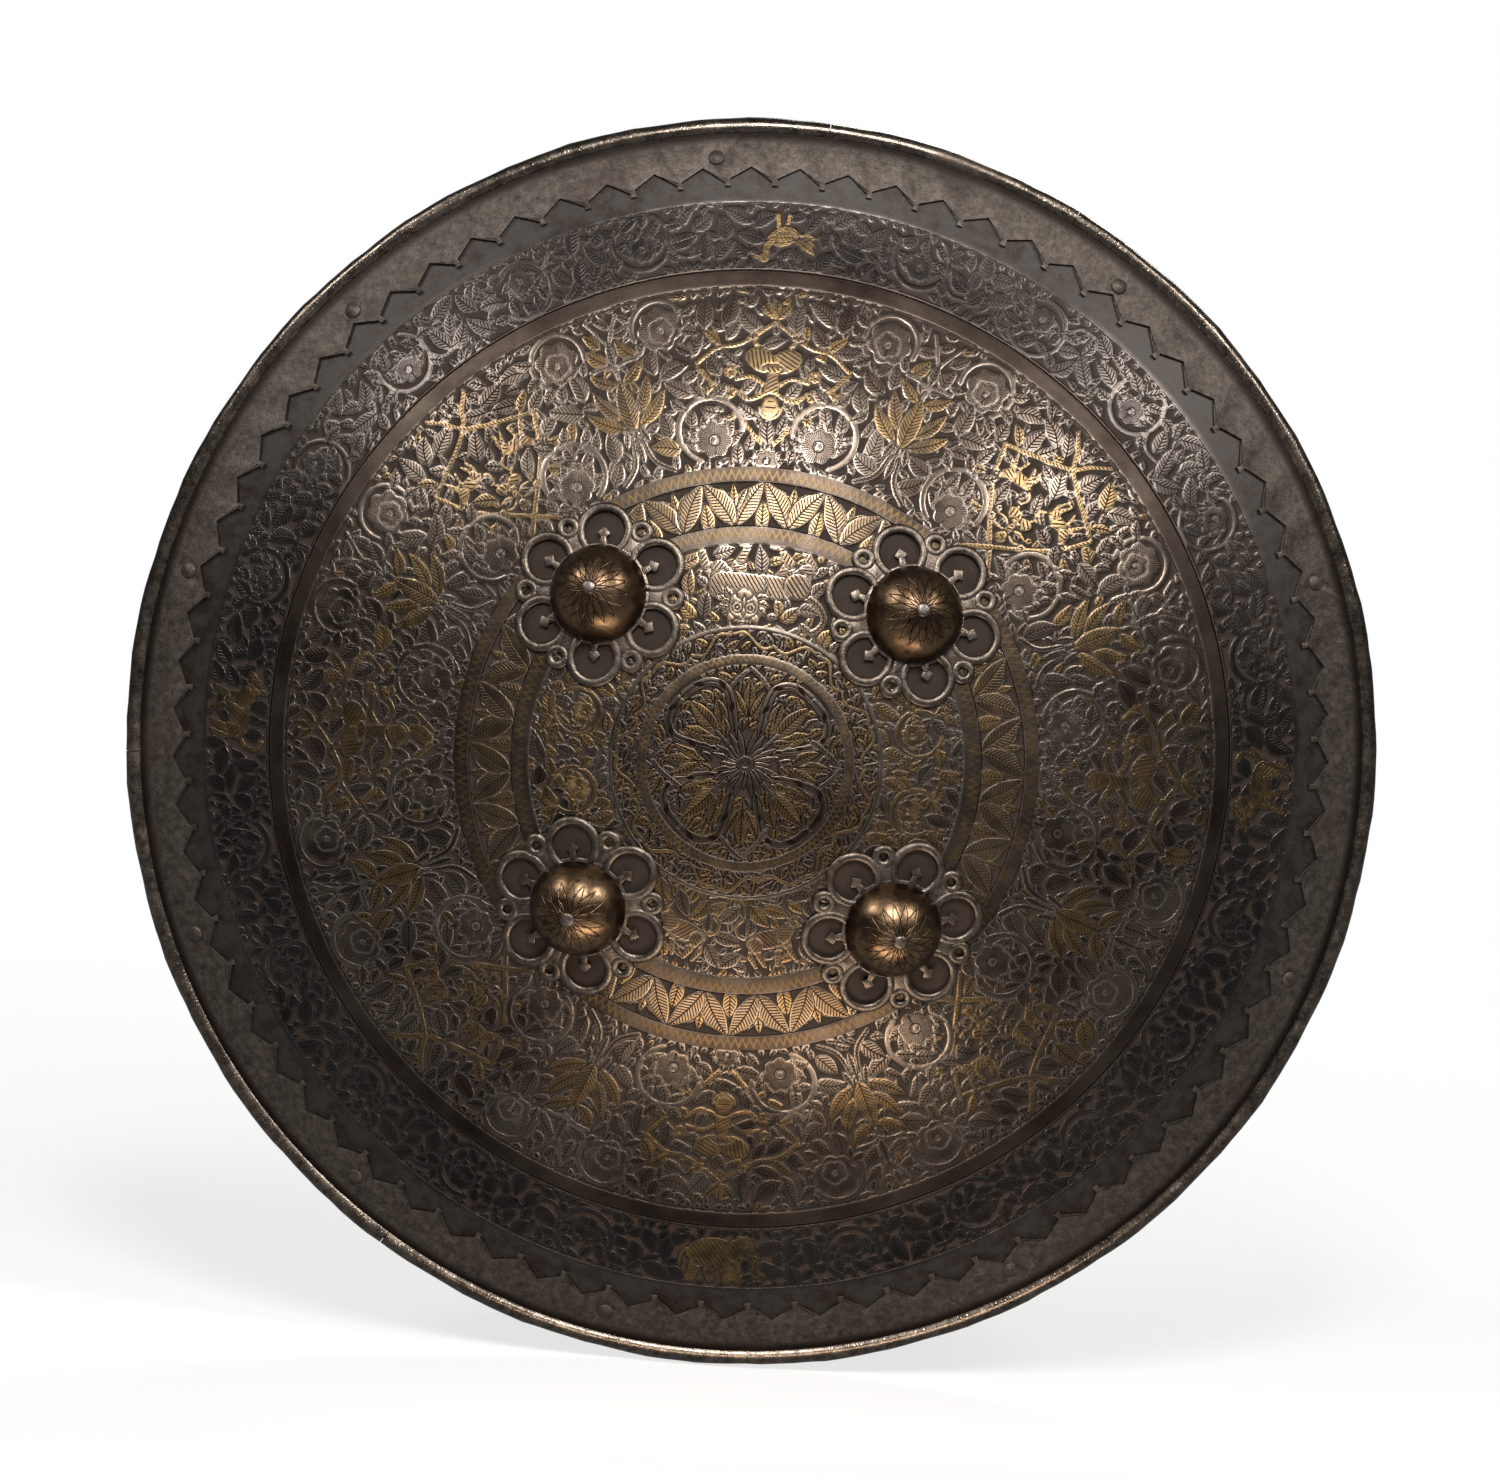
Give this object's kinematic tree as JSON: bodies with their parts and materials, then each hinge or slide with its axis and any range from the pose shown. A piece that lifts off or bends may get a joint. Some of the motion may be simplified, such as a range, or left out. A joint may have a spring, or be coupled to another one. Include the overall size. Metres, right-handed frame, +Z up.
{
  "type": "dhal shield",
  "caption": "Round domed steel hand shield with chiselled ornament, toothed border, rolled rim, pierced rosettes under bosses, and padded handles on rings over a knuckle pad.",
  "frame": {"origin": "where the hand closes on the two handles, on the shield's centre line, 50 mm behind the apex of the bowl", "axes": "+Z up as the shield hangs, -Y out of the decorated face, +X to the right as seen from the front"},
  "size_m": [0.4691, 0.0931, 0.4689],
  "materials": {
    "chiselled_steel": "russeted steel, chiselled in low relief and damascened with gold",
    "border_steel": "plain mottled steel with rust at the cut edges",
    "rim_steel": "handled, half-bright rolled strip",
    "rosette_steel": "filed and pierced plate, bright on the edges",
    "gilt_boss": "raised steel dome, engraved with petals, gilding worn to brown",
    "forged_iron": "forged and blackened",
    "handle_leather": "stitched goat leather over a stuffed core",
    "pad_velvet": "worn crimson velvet",
    "lining_velvet": "worn velvet glued to the bowl"
  },
  "bodies": {
    "shield": {"shield_bowl": "chiselled_steel", "shield_lining": "lining_velvet", "border_plate": "border_steel", "rim_binding_1": "rim_steel", "rim_binding_2": "rim_steel", "rim_binding_3": "rim_steel", "rim_binding_4": "rim_steel", "border_rivet_01": "border_steel", "border_rivet_02": "border_steel", "border_rivet_03": "border_steel", "border_rivet_04": "border_steel", "border_rivet_05": "border_steel", "border_rivet_06": "border_steel", "border_rivet_07": "border_steel", "border_rivet_08": "border_steel", "border_rivet_09": "border_steel", "border_rivet_10": "border_steel", "knuckle_pad": "pad_velvet", "top_right_rosette": "rosette_steel", "top_right_boss": "gilt_boss", "top_right_washer": "forged_iron", "top_right_eye_bolt": "forged_iron", "bottom_right_rosette": "rosette_steel", "bottom_right_boss": "gilt_boss", "bottom_right_washer": "forged_iron", "bottom_right_eye_bolt": "forged_iron", "bottom_left_rosette": "rosette_steel", "bottom_left_boss": "gilt_boss", "bottom_left_washer": "forged_iron", "bottom_left_eye_bolt": "forged_iron", "top_left_rosette": "rosette_steel", "top_left_boss": "gilt_boss", "top_left_washer": "forged_iron", "top_left_eye_bolt": "forged_iron"},
    "left_grip": {"left_handle": "handle_leather", "top_left_ring": "forged_iron", "bottom_left_ring": "forged_iron"},
    "right_grip": {"right_handle": "handle_leather", "top_right_ring": "forged_iron", "bottom_right_ring": "forged_iron"}
  },
  "joints": [
    {"name": "left_handle_swing", "type": "hinge", "parent": "shield", "child": "left_grip", "pos_m": [-0.05463, -0.02525, 0], "axis": [0, 0, -1], "range_deg": [-55, 31]},
    {"name": "right_handle_swing", "type": "hinge", "parent": "shield", "child": "right_grip", "pos_m": [0.05463, -0.02525, 0], "axis": [0, 0, 1], "range_deg": [-55, 31]}
  ]
}
